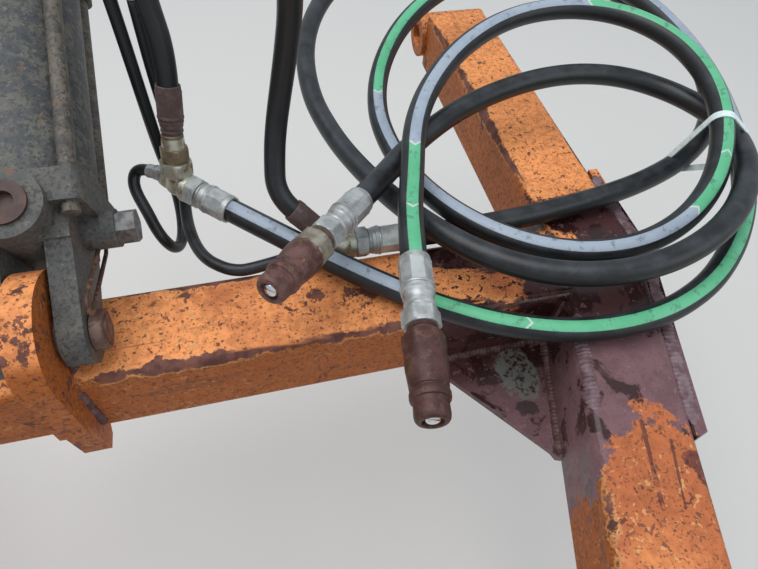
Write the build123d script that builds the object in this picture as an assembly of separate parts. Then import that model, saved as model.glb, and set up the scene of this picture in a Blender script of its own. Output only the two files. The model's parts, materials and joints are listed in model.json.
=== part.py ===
"""Drawbar of a field aerator, with its lift cylinder and hydraulic lines.

Millimetres. X is lateral, Y points rearwards, Z is up off the frame's plane. The origin is on the
axis of the two rear hinge eyes, at the centreline, so the hitch is at -Y.
"""
from build123d import *
import os
from math import cos, pi, radians, sin, sqrt, tan

# Square tube of the frame
TUBE = 101.6
TUBE_WALL = 6.4
TUBE_CORNER = 12.0

# Frame plan
LEG_X = 590.0            # centreline to the middle of a rear leg
CROSS_Y = -564.2         # hinge axis to the middle of the crossbar
TOE_IN = 16.4            # degrees that a front leg turns in
LEG_REAR_GAP = 6.0       # tube end to the bore of its hinge eye

# Rear hinge eyes
EYE_BORE = 38.4
EYE_WALL = 16.0
EYE_SIDE = 8.0           # how far an eye stands out of its tube, each side

# Outer doubler plates at the kinks
DOUBLER_T = 12.0
DOUBLER_REAR = 136.0     # kink to the rear end
DOUBLER_FRONT = 222.0    # kink to the front end
DOUBLER_H = 96.0

# Corner gussets
GUSSET_T = 8.0
GUSSET_CROSS = 152.0     # leg along the crossbar
GUSSET_LEG = 150.0       # leg along the front leg
GUSSET_Z = -38.0         # top face
LOWER_T = 9.5
LOWER_LEG = 128.0
LOWER_CROSS = 60.0

# Cylinder lug on the crossbar
LUG_T = 28.0
LUG_R = 63.0             # round nose about the pin
PIN_FORE = 34.0          # pin axis behind the crossbar's front face
PIN_UP = 33.2            # pin axis above the crossbar's top face
LUG_TAIL_DROP = 15.0     # tail below the crossbar
LUG_TAIL_FORE = 17.0     # tail in front of the crossbar

# Hitch
HEAD_T = 20.0
HEAD_W = 196.0
HEAD_H = 140.0
NOSE_T = 9.5
NOSE_L = 250.0
TINE_T = 22.0
TINE_W = 80.0
TINE_L = 128.0
TINE_GAP = 48.0
HITCH_BORE = 33.4
HITCH_BACK = 26.0

# Lift cylinder, along its own axis from the base pin
CYL_ANGLE = 23.0         # degrees above the frame's plane at rest
PIN_D = 25.4
PIN_PLAY = 0.1           # radial, pin in its bores
CAP_RIM = 4.4            # cap past its tie rods, both ways
CAP_CORNER = 10.0
CAP_FROM = 108.0
CAP_L = 32.0
BARREL_OD = 114.3
BARREL_WALL = 6.35
BARREL_L = 255.0
HEAD_CAP_L = 40.0
TIE_GAP = 0.8            # tie rods off the barrel
TIE_D = 16.0
TIE_PLAY = 0.5
TIE_NUT_AF = 24.0
TIE_NUT_L = 14.0
TIE_PROUD = 9.0
LEG_IN = 19.0            # inner face of a clevis leg off the centre plane
LEG_T = 23.0
LEG_R = 30.0
THROAT = 80.0            # base pin to the throat
ROD_D = 38.1
ROD_PLAY = 0.3
STROKE = 203.2
ROD_GAP = 12.0           # head cap to the rod clevis, retracted
PIN_TO_PIN = 514.4
ROD_LEG_R = 28.0
PORT_R = 32.0
PORT_S = 107.0
PORT_UP = 68.0
SIDE_PORT_R = 19.0
SIDE_PORT_S = 100.0
SIDE_PORT_OUT = 72.0
SIDE_PORT_DROP = -6.0
PLUG_AF = 30.0
PLUG_L = 18.0
WASHER_D = 44.0
CLIP_WIRE = 5.0

# Hydraulic lines
SUPPLY_D = 26.0
RISER_D = 21.5
THIN_D = 13.4
FERRULE_WALL = 2.6       # crimped collar over its hose
FERRULE_L = 30.0
THIN_FERRULE_L = 14.0
NUT_OVER = 5.0           # nut across flats, over the hose's diameter
NUT_L = 14.0
THIN_NUT_L = 9.0
TEE_REACH = 28.0         # tee centre to its arm's end, on the supply side
TEE_D = 25.0
TEE_RING = 4.0           # a ring at an arm's end stands this much out
RING_L = 8.0
FIT_GAP = 0.2            # between a fitting's end and its neighbour
COUPLER_HEX = 32.0
COUPLER_HEX_L = 14.0
COUPLER_D = 34.0
COUPLER_L = 46.0
COUPLER_NOSE_D = 31.0
COUPLER_NOSE_L = 26.0
ELBOW_D = 25.0

PIN_Y = CROSS_Y - TUBE / 2 + PIN_FORE
PIN_Z = TUBE / 2 + PIN_UP
EYE_OD = EYE_BORE + 2 * EYE_WALL
LEG_END_Y = -(EYE_BORE / 2 + LEG_REAR_GAP)
HALF = TUBE / 2
BARREL_ID = BARREL_OD - 2 * BARREL_WALL
ROD_SPREAD = (BARREL_OD / 2 + TIE_GAP + TIE_D / 2) / sqrt(2)   # tie rods off the axis, both ways
CAP_SQ = 2 * (ROD_SPREAD + TIE_D / 2 + CAP_RIM)


def out(shape, name):
    """Write one node."""
    export_step(shape, f"parts/{name}.step")
    return shape


def mirror_x(shape):
    return mirror(shape, about=Plane.YZ)


def along(start, end, flat=Vector(0, 0, 1)):
    """Plane at start whose normal runs to end, with its y axis nearest to flat."""
    axis = (Vector(*end) - Vector(*start)).normalized()
    side = flat.cross(axis)
    if side.length < 1e-6:
        side = Vector(1, 0, 0)
    return Plane(origin=Vector(*start), x_dir=side.normalized(), z_dir=axis)


def bar(start, end, width, height, corner):
    """Solid rounded bar between two points."""
    length = (Vector(*end) - Vector(*start)).length
    return extrude(along(start, end) * RectangleRounded(width, height, corner), length)


def tube_pair(start, end):
    """The outer solid and the bore of a square tube between two points."""
    inner = TUBE - 2 * TUBE_WALL
    return bar(start, end, TUBE, TUBE, TUBE_CORNER), bar(start, end, inner, inner, TUBE_CORNER - TUBE_WALL)


def rod(start, end, diameter):
    length = (Vector(*end) - Vector(*start)).length
    return extrude(along(start, end) * Circle(diameter / 2), length)


def hexagon(start, end, across_flats):
    length = (Vector(*end) - Vector(*start)).length
    return extrude(along(start, end) * RegularPolygon(across_flats / 2, 6, major_radius=False), length)


def side_plate(points, thickness, x=0.0):
    """Plate from a closed outline of (y, z) points, centred on a value of x."""
    face = make_face(Polyline(*[(x - thickness / 2, y, z) for y, z in points], close=True))
    return extrude(face, amount=thickness, dir=(1, 0, 0))


def flat_plate(points, z, thickness):
    """Plate from a closed outline of (x, y) points, rising from z."""
    face = make_face(Polyline(*[(x, y, z) for x, y in points], close=True))
    return extrude(face, amount=thickness, dir=(0, 0, 1))


# Frame lines of the right half, as plan points and directions
TURN = radians(TOE_IN)
KINK = Vector(LEG_X, CROSS_Y, 0)
FORE = Vector(-sin(TURN), -cos(TURN), 0)     # along the front leg
OUTWARD = Vector(cos(TURN), -sin(TURN), 0)   # off the front leg's outer face
MITRE = (Vector(0, 1, 0) - FORE).normalized()
NOSE_Y = KINK.Y - (LEG_X - HALF / cos(TURN)) / tan(TURN)   # where the two front legs meet
FRONT_RUN = (KINK.Y - NOSE_Y) / cos(TURN)


def half_frame():
    """Rear and front leg of the right side, cut to each other at the mitre."""
    rear_outer, rear_bore = tube_pair(KINK - Vector(0, TUBE, 0), (LEG_X, LEG_END_Y, 0))
    front_outer, front_bore = tube_pair(KINK - FORE * TUBE, KINK + FORE * (FRONT_RUN + TUBE))
    mitre = Plane(origin=KINK, z_dir=MITRE)
    rear_outer = split(rear_outer, bisect_by=mitre, keep=Keep.TOP)
    front_outer = split(front_outer, bisect_by=mitre, keep=Keep.BOTTOM)
    nose = Plane(origin=(0, NOSE_Y, 0), z_dir=(0, 1, 0))
    front_outer = split(front_outer, bisect_by=nose, keep=Keep.TOP)
    eye = rod((LEG_X - HALF - EYE_SIDE, 0, 0), (LEG_X + HALF + EYE_SIDE, 0, 0), EYE_OD)
    rear_outer = rear_outer - eye
    return rear_outer, rear_outer - rear_bore, front_outer, front_outer - front_bore


REAR_OUTER, REAR_LEG, FRONT_OUTER, FRONT_LEG = half_frame()


def make_crossbar():
    outer, bore = tube_pair((-LEG_X, CROSS_Y, 0), (LEG_X, CROSS_Y, 0))
    solid = outer - bore
    for leg in (REAR_OUTER, FRONT_OUTER):
        solid = solid - leg - mirror_x(leg)
    return max(solid.solids(), key=lambda s: s.volume)


def make_eye():
    shell = rod((LEG_X - HALF - EYE_SIDE, 0, 0), (LEG_X + HALF + EYE_SIDE, 0, 0), EYE_OD)
    return shell - rod((LEG_X - TUBE, 0, 0), (LEG_X + TUBE, 0, 0), EYE_BORE)


def make_doubler():
    """Bent plate along the outer faces of both legs."""
    rear_face = KINK + Vector(HALF, 0, 0)
    front_face = KINK + OUTWARD * HALF
    knee = HALF * tan(TURN / 2)
    far = (HALF + DOUBLER_T) * tan(TURN / 2)
    points = [
        rear_face + Vector(0, DOUBLER_REAR, 0),
        rear_face + Vector(0, -knee, 0),
        front_face + FORE * DOUBLER_FRONT,
        front_face + FORE * (DOUBLER_FRONT - DOUBLER_T * 0.6) + OUTWARD * DOUBLER_T,
        KINK + Vector(HALF + DOUBLER_T, -far, 0),
        rear_face + Vector(DOUBLER_T, DOUBLER_REAR, 0),
    ]
    return flat_plate([(p.X, p.Y) for p in points], -DOUBLER_H / 2, DOUBLER_H)


CORNER = Vector(LEG_X - HALF / cos(TURN) + (CROSS_Y - HALF - KINK.Y) * tan(TURN), CROSS_Y - HALF, 0)


def make_gusset(cross_leg, front_leg, top, thickness):
    """Triangle in the corner of the crossbar's front face and a front leg's inner face."""
    points = [CORNER, CORNER - Vector(cross_leg, 0, 0), CORNER + FORE * front_leg]
    return flat_plate([(p.X, p.Y) for p in points], top - thickness, thickness)


def make_lower_gusset():
    """Lapped under the crossbar and the front leg, with its tip past the corner gusset."""
    lap = TUBE_CORNER + 18
    points = [
        CORNER + Vector(-LOWER_CROSS, lap, 0),
        CORNER + Vector(-LOWER_CROSS, -10, 0),
        CORNER + FORE * (LOWER_LEG - 14) - OUTWARD * 18,
        CORNER + FORE * LOWER_LEG - OUTWARD * 12,
        CORNER + FORE * (LOWER_LEG + 16),
        CORNER + FORE * (LOWER_LEG + 16) + OUTWARD * lap,
        CORNER + Vector(lap, lap, 0),
    ]
    return flat_plate([(p.X, p.Y) for p in points], -HALF - LOWER_T, LOWER_T)


def make_lug():
    """Round-nosed plate over the crossbar's front corner, with a tail below it."""
    front = CROSS_Y - HALF
    tail = -HALF - LUG_TAIL_DROP
    points = [
        (front + 34, PIN_Z),
        (front + 34, 0),
        (front + 8, 0),
        (front + 8, tail + 8),
        (front, tail),
        (front - LUG_TAIL_FORE, tail),
        (PIN_Y - LUG_R, PIN_Z - 30),
        (PIN_Y - LUG_R, PIN_Z),
    ]
    plate = side_plate(points, LUG_T)
    foot = side_plate([(PIN_Y - LUG_R, PIN_Z), (PIN_Y - LUG_R, 0), (PIN_Y + LUG_R, 0), (PIN_Y + LUG_R, PIN_Z)], LUG_T)
    nose = rod((-LUG_T / 2, PIN_Y, PIN_Z), (LUG_T / 2, PIN_Y, PIN_Z), 2 * LUG_R)
    bore = rod((-LUG_T, PIN_Y, PIN_Z), (LUG_T, PIN_Y, PIN_Z), PIN_D + 2 * PIN_PLAY)
    crossbar, _ = tube_pair((-LUG_T, CROSS_Y, 0), (LUG_T, CROSS_Y, 0))
    lug = plate + foot + nose - crossbar - bore
    return max(lug.solids(), key=lambda s: s.volume)


def make_nose_plate(top):
    """Wedge plate on the two front legs behind the hitch head."""
    z = HALF if top else -HALF - NOSE_T
    half_front = HALF * cos(TURN) + HALF
    rear = NOSE_Y + NOSE_L
    half_rear = half_front + NOSE_L * tan(TURN) - 16
    return flat_plate([(-half_front + 10, NOSE_Y), (half_front - 10, NOSE_Y), (half_rear, rear), (-half_rear, rear)], z, NOSE_T)


def make_head_plate():
    plate = Box(HEAD_W, HEAD_T, HEAD_H)
    plate = fillet(plate.edges().filter_by(Axis.Y), 14)
    return Pos(0, NOSE_Y - HEAD_T / 2, 0) * plate


def make_hitch_clevis():
    """Two tines on a back block, with the hitch pin's bore through both."""
    back_y = NOSE_Y - HEAD_T
    height = TINE_GAP + 2 * TINE_T
    body = Pos(0, back_y - HITCH_BACK / 2, 0) * Box(TINE_W + 24, HITCH_BACK, height)
    tip = back_y - TINE_L
    for z in (TINE_GAP / 2, -TINE_GAP / 2 - TINE_T):
        tine = Pos(0, back_y - TINE_L / 2, z + TINE_T / 2) * Box(TINE_W, TINE_L, TINE_T)
        nose = Pos(0, tip, z + TINE_T / 2) * Cylinder(TINE_W / 2, TINE_T)
        body = body + tine + nose
    return body - Pos(0, tip, 0) * Cylinder(HITCH_BORE / 2, height + 20)


HITCH_PIN_Y = NOSE_Y - HEAD_T - TINE_L


# Lift cylinder, modelled with its axis on Y from the base pin
CAP_END = CAP_FROM + CAP_L
BARREL_END = CAP_END + BARREL_L
HEAD_END = BARREL_END + HEAD_CAP_L
HEAD_PORT_S = BARREL_END + HEAD_CAP_L / 2
CYLINDER_AT = Pos(0, PIN_Y, PIN_Z) * Rot(CYL_ANGLE, 0, 0)


def square_cap(start, length):
    cap = Box(CAP_SQ, length, CAP_SQ)
    cap = fillet(cap.edges().filter_by(Axis.Y), CAP_CORNER)
    cap = Pos(0, start + length / 2, 0) * cap
    for x in (-ROD_SPREAD, ROD_SPREAD):
        for z in (-ROD_SPREAD, ROD_SPREAD):
            cap = cap - rod((x, start - 5, z), (x, start + length + 5, z), TIE_D + 2 * TIE_PLAY)
    return cap


def clevis_legs(pin_y, root_y, radius, root_half, inner, thickness, way):
    """Two legs from a root to their rounded ends round a pin. way is 1 when the root lies at larger y."""
    legs = None
    for side in (-1, 1):
        x = side * (inner + thickness / 2)
        outline = [(pin_y, radius), (root_y, root_half), (root_y, -root_half), (pin_y, -radius)]
        leg = side_plate(outline, thickness, x)
        leg = leg + rod((x - thickness / 2, pin_y, 0), (x + thickness / 2, pin_y, 0), 2 * radius)
        legs = leg if legs is None else legs + leg
    return legs


def make_cylinder_base():
    """Cast base: square cap, neck, two clevis legs and two port bosses."""
    cap = square_cap(CAP_FROM, CAP_L)
    neck = Pos(0, (THROAT + CAP_FROM) / 2, 0) * Box(2 * (LEG_IN + LEG_T), CAP_FROM - THROAT, 84)
    legs = clevis_legs(0, CAP_FROM, LEG_R, 42, LEG_IN, LEG_T, 1)
    top_port = rod((0, PORT_S, 0), (0, PORT_S, PORT_UP), 2 * PORT_R)
    side_port = rod((-SIDE_PORT_OUT, SIDE_PORT_S, SIDE_PORT_DROP), (SIDE_PORT_OUT, SIDE_PORT_S, SIDE_PORT_DROP),
                    2 * SIDE_PORT_R)
    body = cap + neck + legs + top_port + side_port
    throat = rod((-LEG_IN - 0.01, THROAT - 24, 0), (LEG_IN + 0.01, THROAT - 24, 0), 2)
    slot = Pos(0, (THROAT - 60) / 2 - 30, 0) * Box(2 * LEG_IN, THROAT + 60, 3 * CAP_SQ)
    body = body - throat - slot
    bore = rod((-CAP_SQ, 0, 0), (CAP_SQ, 0, 0), PIN_D + 2 * PIN_PLAY)
    plug_hole = rod((0, PORT_S, PORT_UP - 14), (0, PORT_S, PORT_UP + 5), 40)
    body = body - bore - plug_hole
    for x in (-ROD_SPREAD, ROD_SPREAD):
        for z in (-ROD_SPREAD, ROD_SPREAD):
            body = body - rod((x, CAP_FROM - TIE_PROUD - 6, z), (x, CAP_END + 5, z), TIE_D + 2 * TIE_PLAY)
    return max(body.solids(), key=lambda s: s.volume)


def make_barrel():
    return rod((0, CAP_END, 0), (0, BARREL_END, 0), BARREL_OD) - rod((0, CAP_END - 5, 0), (0, BARREL_END + 5, 0), BARREL_ID)


def make_head_cap():
    cap = square_cap(BARREL_END, HEAD_CAP_L)
    boss = rod((0, HEAD_PORT_S, 0), (-SIDE_PORT_OUT, HEAD_PORT_S, 0), 2 * SIDE_PORT_R)
    gland = rod((0, HEAD_END, 0), (0, HEAD_END + 8, 0), 64)
    cap = cap + boss + gland
    return cap - rod((0, BARREL_END - 5, 0), (0, HEAD_END + 20, 0), ROD_D + 2 * ROD_PLAY)


def make_tie_rods():
    rods = None
    for x in (-ROD_SPREAD, ROD_SPREAD):
        for z in (-ROD_SPREAD, ROD_SPREAD):
            one = rod((x, CAP_FROM - TIE_PROUD, z), (x, HEAD_END + TIE_NUT_L + 5, z), TIE_D)
            one = one + hexagon((x, HEAD_END, z), (x, HEAD_END + TIE_NUT_L, z), TIE_NUT_AF)
            rods = [one] if rods is None else rods + [one]
    return Compound(children=[max(r.solids(), key=lambda s: s.volume) for r in rods])


def make_port_plugs():
    top = rod((0, PORT_S, PORT_UP - 14), (0, PORT_S, PORT_UP + 3), 40) - rod((0, PORT_S, PORT_UP - 4), (0, PORT_S, PORT_UP + 9), 20)
    side = hexagon((SIDE_PORT_OUT, SIDE_PORT_S, SIDE_PORT_DROP), (SIDE_PORT_OUT + PLUG_L, SIDE_PORT_S, SIDE_PORT_DROP), PLUG_AF)
    return Compound(children=[top.solids()[0], side.solids()[0]])


ROD_EYE = PIN_TO_PIN
ROD_ROOT = HEAD_END + 8 + ROD_GAP


def make_piston_rod():
    return rod((0, CAP_END + 40, 0), (0, ROD_ROOT, 0), ROD_D)


def make_rod_clevis():
    root = ROD_ROOT
    body = Pos(0, root + 11, 0) * Box(2 * (LEG_IN + LEG_T), 22, 56)
    body = body + clevis_legs(ROD_EYE, root, ROD_LEG_R, ROD_LEG_R, LEG_IN, LEG_T, -1)
    body = body - rod((-CAP_SQ, ROD_EYE, 0), (CAP_SQ, ROD_EYE, 0), PIN_D + 2 * PIN_PLAY)
    return max(body.solids(), key=lambda s: s.volume)


def make_lug_pin():
    """Pin through the lug and the clevis, with a head at each side and its spacers."""
    outer = LEG_IN + LEG_T
    pin = rod((-outer - 14, 0, 0), (outer + 14, 0, 0), PIN_D)
    head = rod((outer + 1, 0, 0), (outer + 12, 0, 0), WASHER_D - 6)
    collar = rod((-outer - 12, 0, 0), (-outer - 1, 0, 0), WASHER_D - 6)
    return CYLINDER_AT * (pin + head + collar)


def spacer(side):
    gap = 0.3
    ring = rod((side * (LUG_T / 2 + gap), 0, 0), (side * (LEG_IN - gap), 0, 0), WASHER_D)
    return CYLINDER_AT * (ring - rod((-60, 0, 0), (60, 0, 0), PIN_D + 2 * PIN_PLAY))


# Hose routes, by hand, from each line's first fitting to its last
SUPPLY_FIRST = [
    (184, -452, 88), (251, -514, 86), (327, -577, 69), (411, -625, 65), (498, -664, 65), (600, -671, 70),
    (709, -622, 88), (783, -520, 112), (820, -399, 136), (809, -255, 150), (708, -119, 152), (528, -132, 148),
    (387, -273, 134), (361, -412, 112), (424, -506, 95), (503, -561, 86), (583, -590, 92), (648, -602, 112),
    (700, -574, 146), (729, -510, 176), (735, -430, 195), (722, -358, 202), (684, -295, 201), (616, -264, 199),
    (535, -287, 196), (457, -358, 193), (388, -453, 190), (348, -550, 178), (335, -623, 158),
]
SUPPLY_SECOND = [
    (363, -509, 67), (450, -507, 65), (562, -501, 71), (680, -486, 84), (788, -438, 100), (857, -330, 114),
    (868, -196, 122), (768, -66, 126), (592, 4, 124), (410, -56, 116), (306, -236, 104), (326, -406, 94),
    (385, -532, 97), (468, -606, 98), (567, -633, 104), (651, -627, 114), (720, -599, 130),
    (768, -543, 148), (782, -473, 160), (751, -412, 167), (688, -374, 168), (606, -358, 162), (510, -376, 154),
    (386, -453, 152), (304, -533, 156),
]

RISER_FIRST = [
    (141, -377, 192), (141, -364, 228), (139, -351, 266), (136, -340, 310), (130, -332, 360), (110, -323, 412),
    (70, -312, 450), (18, -301, 466), (-32, -287, 456), (-70, -270, 422), (-88, -252, 376), (-90, -234, 328),
]
RISER_SECOND = [
    (244, -479, 111), (229, -475, 127), (223, -469, 151), (225, -459, 181), (231, -451, 215), (239, -448, 254),
    (246, -453, 296), (249, -464, 341), (244, -477, 388), (225, -488, 432), (188, -496, 468), (138, -501, 490),
    (80, -504, 496), (24, -507, 484), (-26, -512, 454), (-62, -522, 410), (-82, -533, 360), (-90, -543, 305),
    (-90, -541, 247), (-90, -521, 199),
]
THIN_FIRST = [
    (95, -376, 89), (79, -365, 88), (66, -365, 75), (67, -382, 62), (76, -401, 51), (87, -419, 40), (97, -434, 27),
    (108, -433, 11), (115, -416, -1), (118, -394, 2), (118, -377, 20), (115, -366, 46), (111, -359, 78),
    (108, -351, 112), (106, -341, 146), (104, -330, 182), (102, -319, 220), (100, -309, 258), (98, -302, 294),
]
THIN_SECOND = [
    (233, -508, 58), (206, -512, 57), (179, -511, 57), (159, -502, 56), (146, -484, 56), (139, -460, 56),
    (134, -434, 57), (131, -408, 58), (129, -382, 64), (128, -362, 84), (127, -350, 114), (125, -341, 148),
    (123, -331, 184), (122, -320, 222), (122, -310, 258),
]
HOSES = (   # name, route, diameter
    ("supply_hose_first", SUPPLY_FIRST, SUPPLY_D),
    ("supply_hose_second", SUPPLY_SECOND, SUPPLY_D),
    ("riser_hose_first", RISER_FIRST, RISER_D),
    ("riser_hose_second", RISER_SECOND, RISER_D),
    ("thin_hose_first", THIN_FIRST, THIN_D),
    ("thin_hose_second", THIN_SECOND, THIN_D),
)


def hose(points, diameter, label):
    """Straight runs joined by arcs as large as the shorter run of each corner allows."""
    vectors = [Vector(*p) for p in points]
    radii = []
    for before, here, after in zip(vectors, vectors[1:], vectors[2:]):
        run_in, run_out = here - before, after - here
        half_turn = radians(run_in.get_angle(run_out)) / 2
        radii.append(0.45 * min(run_in.length, run_out.length) / tan(half_turn))
    path = FilletPolyline(*vectors, radius=radii)
    start = Plane(origin=vectors[0], z_dir=vectors[1] - vectors[0])
    tube = sweep(start * Circle(diameter / 2), path=path)
    expected = pi * diameter ** 2 / 4 * path.length
    print(label, "length", round(path.length), "smallest radius", round(min(radii)), "radii", [round(r) for r in radii],
          "volume share", round(tube.volume / expected, 4))
    return tube


def tip_of(points, end):
    """End point of a route and the unit vector out of it: end 0 is its first point, 1 its last."""
    a, b = (points[0], points[1]) if end == 0 else (points[-1], points[-2])
    tip = Vector(*a)
    return tip, (tip - Vector(*b)).normalized()


def fitting_length(diameter):
    """Ferrule and swivel nut past the end of a hose."""
    return FERRULE_L + NUT_L if diameter > THIN_D else THIN_FERRULE_L + THIN_NUT_L


def outer_end(points, end, diameter):
    """Where the nut of a hose's end stops."""
    tip, away = tip_of(points, end)
    return tip + away * fitting_length(diameter), away


def make_hose_end(points, end, diameter):
    """Crimped ferrule and hexagon nut on the end of a hose."""
    tip, away = tip_of(points, end)
    far = fitting_length(diameter)
    collar = FERRULE_L if diameter > THIN_D else THIN_FERRULE_L
    ferrule = rod(tip, tip + away * collar, diameter + 2 * FERRULE_WALL)
    return ferrule + hexagon(tip + away * collar, tip + away * far, diameter + NUT_OVER)


def arm(centre, nut, diameter):
    """Bent stub from a fitting's centre to a ring that meets a hose's nut squarely. nut is an outer_end."""
    near, away = nut
    face = near + away * FIT_GAP
    bend = face + away * max(RING_L, diameter / 2)
    ring = rod(face, face + away * RING_L, diameter + TEE_RING)
    return ring + rod(face, bend, diameter) + Pos(*bend) * Sphere(diameter / 2) + rod(centre, bend, diameter)


def make_tee(supply, riser, thin):
    """Tee whose arms run to the nuts of a supply hose, a riser and a thin hose."""
    near, away = outer_end(supply, 0, SUPPLY_D)
    centre = near + away * TEE_REACH
    body = Pos(*centre) * Sphere(TEE_D / 2 + 3)
    body = body + arm(centre, (near, away), TEE_D)
    body = body + arm(centre, outer_end(riser, 0, RISER_D), RISER_D)
    return body + arm(centre, outer_end(thin, 0, THIN_D), THIN_D)


def make_coupler(points):
    """Quick coupler: hexagon, body and collared nose past a hose's nut."""
    start, away = outer_end(points, 1, SUPPLY_D)
    hex_end = start + away * COUPLER_HEX_L
    body_end = hex_end + away * COUPLER_L
    tip = body_end + away * COUPLER_NOSE_L
    body = hexagon(start + away * FIT_GAP, hex_end, COUPLER_HEX) + rod(hex_end, body_end, COUPLER_D)
    return body + rod(body_end, tip, COUPLER_NOSE_D)


def make_elbow(points, port):
    """Port elbow: from a side port's face at x = -SIDE_PORT_OUT outwards, then to a riser's nut."""
    face = (CYLINDER_AT * Pos(*port)).position
    corner = face + Vector(-ELBOW_D / 2 - 6, 0, 0)
    leg = rod(face, corner, ELBOW_D - 3) + Pos(*corner) * Sphere(ELBOW_D / 2)
    leg = leg + hexagon(face, face - Vector(8, 0, 0), ELBOW_D + 5)
    return leg + arm(corner, outer_end(points, 1, RISER_D), RISER_D)


def make_cap(points):
    """Closing cap on the far nut of a thin hose."""
    start, away = outer_end(points, 1, THIN_D)
    return rod(start + away * FIT_GAP, start + away * 12, THIN_D + 3)


os.makedirs("parts", exist_ok=True)

for name, shape in (
    ("rear_leg", REAR_LEG),
    ("front_leg", FRONT_LEG),
    ("hinge_eye", make_eye()),
    ("kink_doubler", make_doubler()),
    ("corner_gusset", make_gusset(GUSSET_CROSS, GUSSET_LEG, GUSSET_Z, GUSSET_T)),
    ("lower_gusset", make_lower_gusset()),
):
    out(shape, f"{name}_right")
    out(mirror_x(shape), f"{name}_left")
out(make_crossbar(), "crossbar")
out(make_lug(), "cylinder_lug")
out(make_nose_plate(True), "nose_plate_top")
out(make_nose_plate(False), "nose_plate_bottom")
out(make_head_plate(), "hitch_head_plate")
out(make_hitch_clevis(), "hitch_clevis")
for name, make in (
    ("cylinder_base", make_cylinder_base),
    ("cylinder_barrel", make_barrel),
    ("cylinder_head_cap", make_head_cap),
    ("tie_rods", make_tie_rods),
    ("port_plugs", make_port_plugs),
    ("piston_rod", make_piston_rod),
    ("rod_clevis", make_rod_clevis),
):
    out(CYLINDER_AT * make(), name)
out(make_lug_pin(), "lug_pin")
out(spacer(1), "pin_spacer_right")
out(spacer(-1), "pin_spacer_left")
for name, points, diameter in HOSES:
    out(hose(points, diameter, name), name)
    out(make_hose_end(points, 0, diameter), name.replace("hose", "tee_end"))
    out(make_hose_end(points, 1, diameter), name.replace("hose", "far_end"))
out(make_tee(SUPPLY_FIRST, RISER_FIRST, THIN_FIRST), "tee_first")
out(make_tee(SUPPLY_SECOND, RISER_SECOND, THIN_SECOND), "tee_second")
out(make_coupler(SUPPLY_FIRST), "coupler_first")
out(make_coupler(SUPPLY_SECOND), "coupler_second")
out(make_elbow(RISER_FIRST, (-SIDE_PORT_OUT, HEAD_PORT_S, 0)), "head_port_elbow")
out(make_elbow(RISER_SECOND, (-SIDE_PORT_OUT, SIDE_PORT_S, SIDE_PORT_DROP)), "base_port_elbow")
out(make_cap(THIN_FIRST), "thin_cap_first")
out(make_cap(THIN_SECOND), "thin_cap_second")
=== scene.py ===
"""Finishes a field aerator's drawbar: hoses and their fittings, welds, worn paint, and the studio."""
import json
from math import cos, pi, radians, sin, tan

import bpy
import numpy as np
from bpy.props import FloatProperty, FloatVectorProperty, IntProperty, PointerProperty
from bpy.types import Operator, Panel, PropertyGroup
from mathutils import Matrix, Vector


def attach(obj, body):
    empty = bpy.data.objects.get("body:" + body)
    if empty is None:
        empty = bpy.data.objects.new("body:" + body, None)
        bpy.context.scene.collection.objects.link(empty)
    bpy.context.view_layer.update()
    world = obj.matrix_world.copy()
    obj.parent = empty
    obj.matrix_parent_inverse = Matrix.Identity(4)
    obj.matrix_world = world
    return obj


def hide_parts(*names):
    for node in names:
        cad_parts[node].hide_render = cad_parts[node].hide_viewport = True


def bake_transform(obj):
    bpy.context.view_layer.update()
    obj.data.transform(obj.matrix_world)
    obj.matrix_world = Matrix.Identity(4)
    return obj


bl_info = {
    "name": "Drawbar Finishing",
    "version": (1, 0, 0),
    "blender": (4, 5, 0),
    "location": "View3D > Sidebar > Drawbar",
    "description": "Hoses, fittings, welds, weathered finishes and a studio for a steel drawbar",
    "category": "Object",
}

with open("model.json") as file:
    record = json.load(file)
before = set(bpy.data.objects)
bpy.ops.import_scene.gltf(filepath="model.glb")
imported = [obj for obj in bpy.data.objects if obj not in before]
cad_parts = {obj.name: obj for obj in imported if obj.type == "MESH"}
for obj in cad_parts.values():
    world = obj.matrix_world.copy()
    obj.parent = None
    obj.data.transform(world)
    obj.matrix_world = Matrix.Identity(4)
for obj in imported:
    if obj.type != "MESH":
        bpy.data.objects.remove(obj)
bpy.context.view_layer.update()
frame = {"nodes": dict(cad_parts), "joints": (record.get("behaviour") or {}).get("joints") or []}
NODES = frame["nodes"]
MM = 0.001

# Places taken from the frame, in metres
TUBE_HALF = 0.0508
LEG_X = 0.59
CROSS_Y = -0.5642
TOE_IN = radians(16.4)
PIN = np.array(next(j for j in frame["joints"] if j["name"] == "cylinder_pivot")["pos_m"], float)
CYLINDER_ANGLE = radians(23.0)
CYLINDER_WAY = np.array([0.0, cos(CYLINDER_ANGLE), sin(CYLINDER_ANGLE)])
CYLINDER_UP = np.array([0.0, -sin(CYLINDER_ANGLE), cos(CYLINDER_ANGLE)])
KINK = np.array([LEG_X, CROSS_Y, 0.0])
FORE = np.array([-sin(TOE_IN), -cos(TOE_IN), 0.0])
OUTWARD = np.array([cos(TOE_IN), -sin(TOE_IN), 0.0])

# The photograph's camera: where it stands and its three directions
CAMERA_AT = (0.2087, -0.9113, 0.5521)
CAMERA_LOOK = (0.18302, 0.56597, -0.80386)
CAMERA_RIGHT = (0.96999, -0.2371, 0.05391)
CAMERA_UP = (0.16008, 0.7896, 0.59237)
CAMERA_LENS = 27.17

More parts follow.
